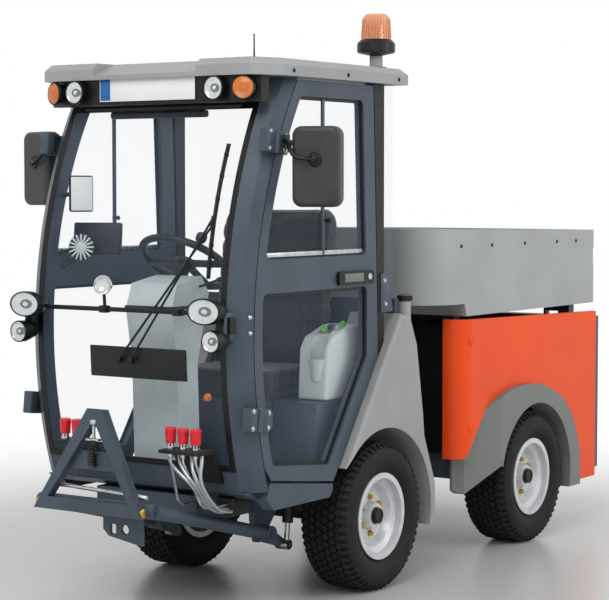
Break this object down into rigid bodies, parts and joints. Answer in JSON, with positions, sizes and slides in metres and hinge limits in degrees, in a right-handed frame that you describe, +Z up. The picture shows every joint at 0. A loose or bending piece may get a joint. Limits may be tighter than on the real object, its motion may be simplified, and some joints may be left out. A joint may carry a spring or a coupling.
{
  "type": "compact road sweeper carrier",
  "caption": "Narrow articulated carrier with a bowed glass cab, front lift with coupling triangle, orange rear body and a tipping grey load tub.",
  "frame": {"origin": "on the ground under the middle of the bounding box", "axes": "+Z up, -Y towards the nose, +X to the vehicle's left"},
  "size_m": [1.4552, 3.0538, 2.205],
  "materials": {
    "slate_paint": "satin powder coat",
    "grey_moulding": "moulded, fine grain",
    "arch_moulding": "moulded, fine grain",
    "orange_panel": "gloss",
    "grey_tub_paint": "satin powder coat",
    "silver_wheel_paint": "metallic paint",
    "tyre_rubber": "moulded rubber",
    "tinted_glass": "clear, light tint",
    "black_moulding": "moulded",
    "seat_cover": "woven",
    "console_moulding": "moulded",
    "clear_lens": "clear lens",
    "amber_lens": "amber lens",
    "red_lens": "red lens",
    "black_paint": "satin",
    "engine_casting": "cast, painted",
    "bright_steel": "plated"
  },
  "bodies": {
    "front_section": {"front_frame": "slate_paint", "front_axle": "black_paint", "cab_floor": "slate_paint", "cab_corner_posts": "slate_paint", "cab_cross_beams": "slate_paint", "windscreen": "tinted_glass", "cab_rear_wall": "slate_paint", "cab_rear_posts": "black_paint", "rear_window": "tinted_glass", "roof": "grey_moulding", "lamp_panel": "black_moulding", "roof_lamps": "clear_lens", "front_wings": "grey_moulding", "seat_box": "slate_paint", "seat_cushion": "seat_cover", "seat_back": "seat_cover", "side_console": "console_moulding", "steering_pedestal": "black_moulding", "steering_wheel": "black_moulding", "lamp_clusters": "clear_lens", "wiper": "black_moulding", "beacon_base": "black_moulding", "beacon_dome": "amber_lens", "hydraulic_couplers": "bright_steel", "valve_block": "black_paint", "steel_lines": "bright_steel"},
    "rear_section": {"rear_frame": "slate_paint", "rear_uprights": "slate_paint", "rear_axle": "black_paint", "engine": "engine_casting", "rear_bulkhead": "black_moulding", "rear_arches": "arch_moulding", "side_panels": "orange_panel", "rear_panel": "slate_paint", "tail_lamps": "red_lens"},
    "door_left": {"door_left": "slate_paint", "door_glass_left": "tinted_glass", "door_handle_left": "black_moulding", "mirror_left": "black_moulding"},
    "door_right": {"door_right": "slate_paint", "door_glass_right": "tinted_glass", "door_handle_right": "black_moulding", "mirror_right": "black_moulding"},
    "front_lift": {"lift_arms": "slate_paint", "coupling_triangle": "slate_paint"},
    "lift_rams": {"lift_ram_barrels": "black_paint"},
    "lift_rods": {"lift_ram_rods": "bright_steel"},
    "tub": {"load_tub": "grey_tub_paint"},
    "wheel_front_left": {"tyre_front_left": "tyre_rubber", "rim_front_left": "silver_wheel_paint"},
    "wheel_front_right": {"tyre_front_right": "tyre_rubber", "rim_front_right": "silver_wheel_paint"},
    "wheel_rear_left": {"tyre_rear_left": "tyre_rubber", "rim_rear_left": "silver_wheel_paint"},
    "wheel_rear_right": {"tyre_rear_right": "tyre_rubber", "rim_rear_right": "silver_wheel_paint"}
  },
  "joints": [
    {"name": "articulation", "type": "hinge", "parent": "front_section", "child": "rear_section", "pos_m": [0, 0.218, 0.38], "axis": [0, 0, 1], "range_deg": [-35, 35]},
    {"name": "door_left_hinge", "type": "hinge", "parent": "front_section", "child": "door_left", "pos_m": [0.516, -1.208, 0.733], "axis": [0, -0.109, -0.994], "range_deg": [0, 75]},
    {"name": "door_right_hinge", "type": "hinge", "parent": "front_section", "child": "door_right", "pos_m": [-0.516, -1.208, 0.733], "axis": [0, 0.109, 0.994], "range_deg": [0, 75]},
    {"name": "front_lift_hinge", "type": "hinge", "parent": "front_section", "child": "front_lift", "pos_m": [0, -0.802, 0.25], "axis": [-1, 0, 0], "range_deg": [-10, 9]},
    {"name": "lift_ram_swing", "type": "hinge", "parent": "front_section", "child": "lift_rams", "pos_m": [0, -0.677, 0.4], "axis": [-1, 0, 0], "range_deg": [-3, 3]},
    {"name": "lift_rod_slide", "type": "slide", "parent": "lift_rams", "child": "lift_rods", "axis": [0, -0.083, -0.9965], "range_m": [-0.021, 0.019]},
    {"name": "tub_hinge", "type": "hinge", "parent": "rear_section", "child": "tub", "pos_m": [0, 1.476, 0.985], "axis": [-1, 0, 0], "range_deg": [0, 50]},
    {"name": "wheel_front_left_spin", "type": "hinge", "parent": "front_section", "child": "wheel_front_left", "pos_m": [0.427, -0.402, 0.285], "axis": [1, 0, 0], "continuous": true},
    {"name": "wheel_front_right_spin", "type": "hinge", "parent": "front_section", "child": "wheel_front_right", "pos_m": [-0.427, -0.402, 0.285], "axis": [1, 0, 0], "continuous": true},
    {"name": "wheel_rear_left_spin", "type": "hinge", "parent": "rear_section", "child": "wheel_rear_left", "pos_m": [0.427, 0.837, 0.285], "axis": [1, 0, 0], "continuous": true},
    {"name": "wheel_rear_right_spin", "type": "hinge", "parent": "rear_section", "child": "wheel_rear_right", "pos_m": [-0.427, 0.837, 0.285], "axis": [1, 0, 0], "continuous": true}
  ],
  "couplings": [
    {"joint": "lift_ram_swing", "follows": "front_lift_hinge", "ratio": 0.2145},
    {"joint": "lift_rod_slide", "follows": "front_lift_hinge", "m_per_rad": 0.1121}
  ]
}
